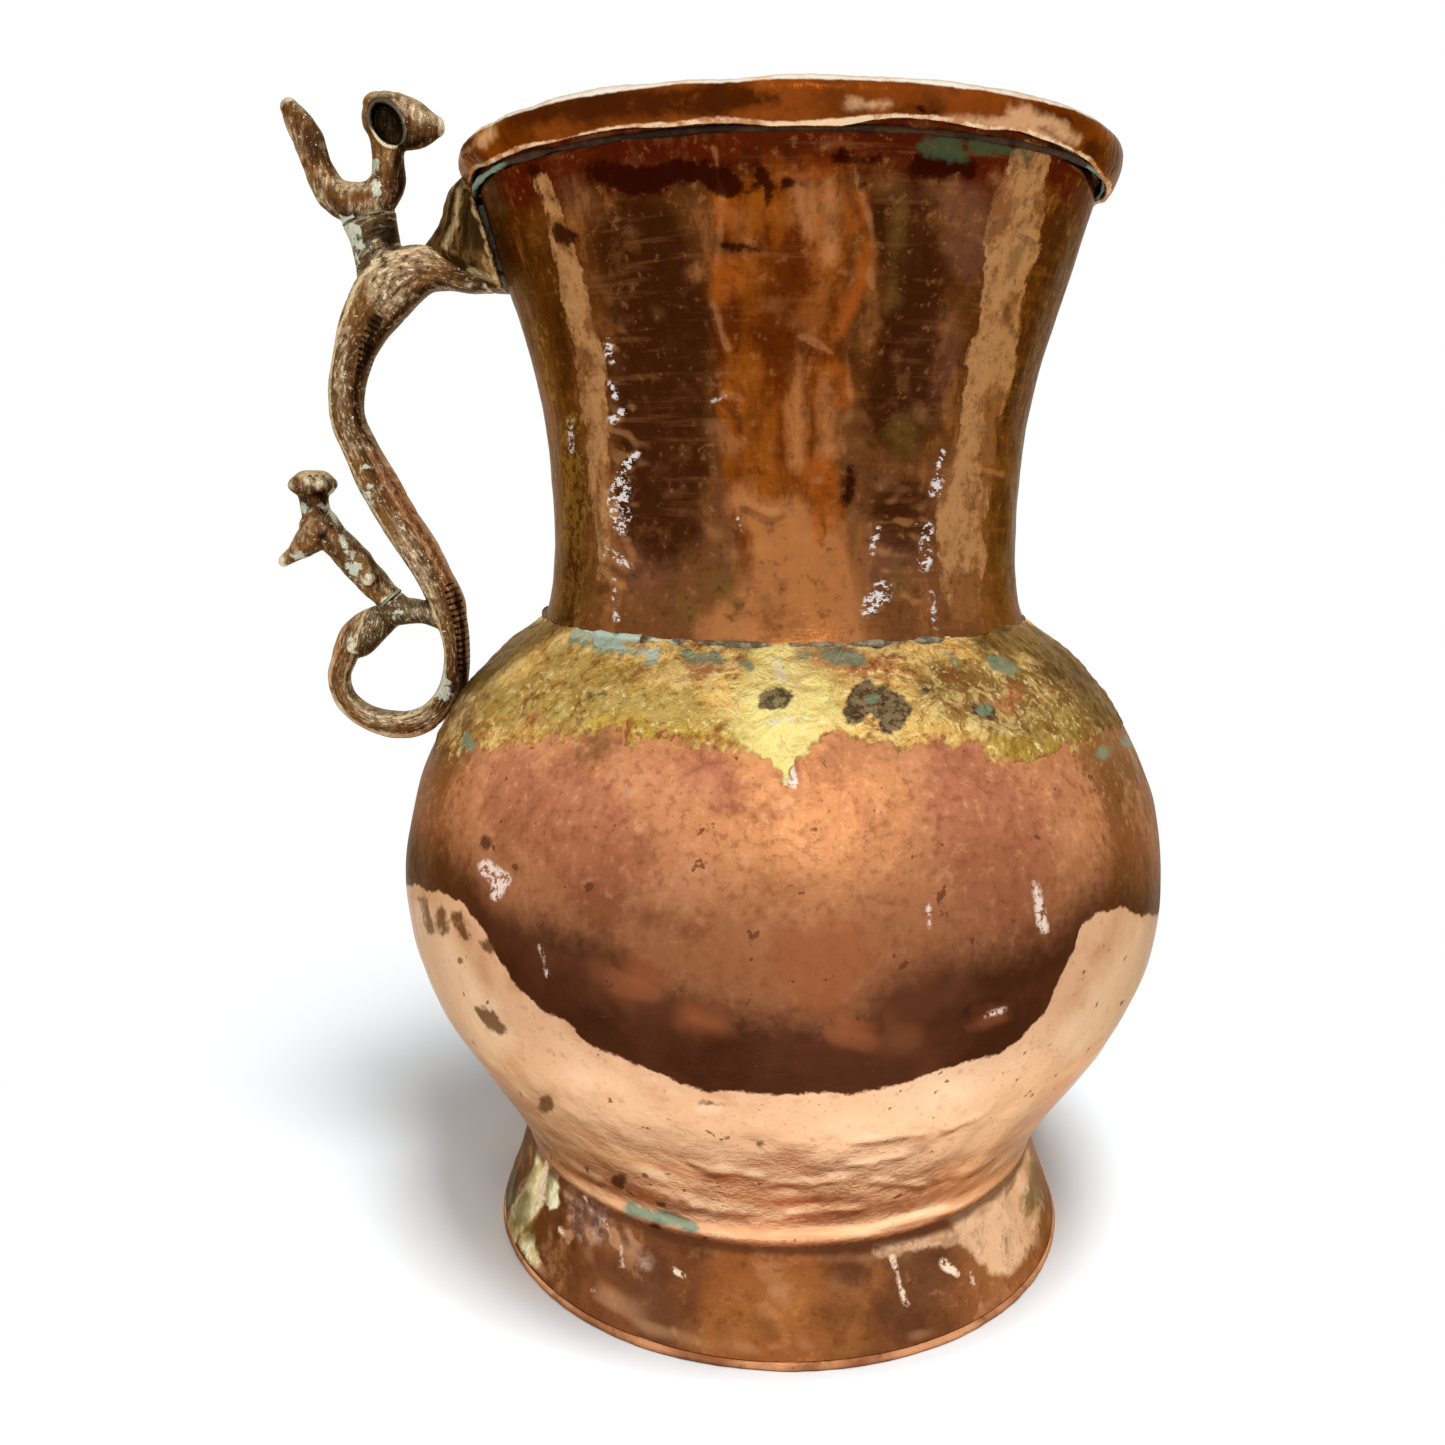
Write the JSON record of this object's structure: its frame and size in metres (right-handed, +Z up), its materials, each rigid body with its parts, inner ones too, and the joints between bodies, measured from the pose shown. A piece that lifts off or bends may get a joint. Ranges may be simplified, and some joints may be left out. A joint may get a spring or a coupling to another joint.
{
  "type": "pitcher",
  "caption": "Copper pitcher with a round belly, a flared neck and foot, a banded rim and a cast scroll handle with bird finials.",
  "frame": {"origin": "centre of the foot, on the plane that the pitcher stands on", "axes": "+Z up along the vessel's axis, -X towards the handle"},
  "size_m": [0.2218, 0.1914, 0.283],
  "materials": {
    "copper": "worn, hammered copper sheet with a dark patina",
    "cast_brass": "rough sand-cast brass with verdigris",
    "spelter": "brass brazing spelter, filed rough",
    "solder": "dull grey solder with verdigris"
  },
  "bodies": {
    "root": {"bowl": "copper", "neck": "copper", "neck_seam_braze": "spelter", "neck_solder": "solder", "shoulder_braze": "spelter", "rim_band": "copper", "rim_wire": "copper", "rim_solder": "solder", "foot_ring": "copper", "foot_seam_braze": "spelter", "foot_edge_wire": "copper", "foot_solder": "solder", "handle": "cast_brass", "handle_leaf": "cast_brass", "leaf_solder": "solder", "scroll_solder": "solder", "thumb_bird": "cast_brass", "thumb_bird_solder": "solder", "crested_bird": "cast_brass", "crested_bird_solder": "solder"}
  },
  "joints": []
}
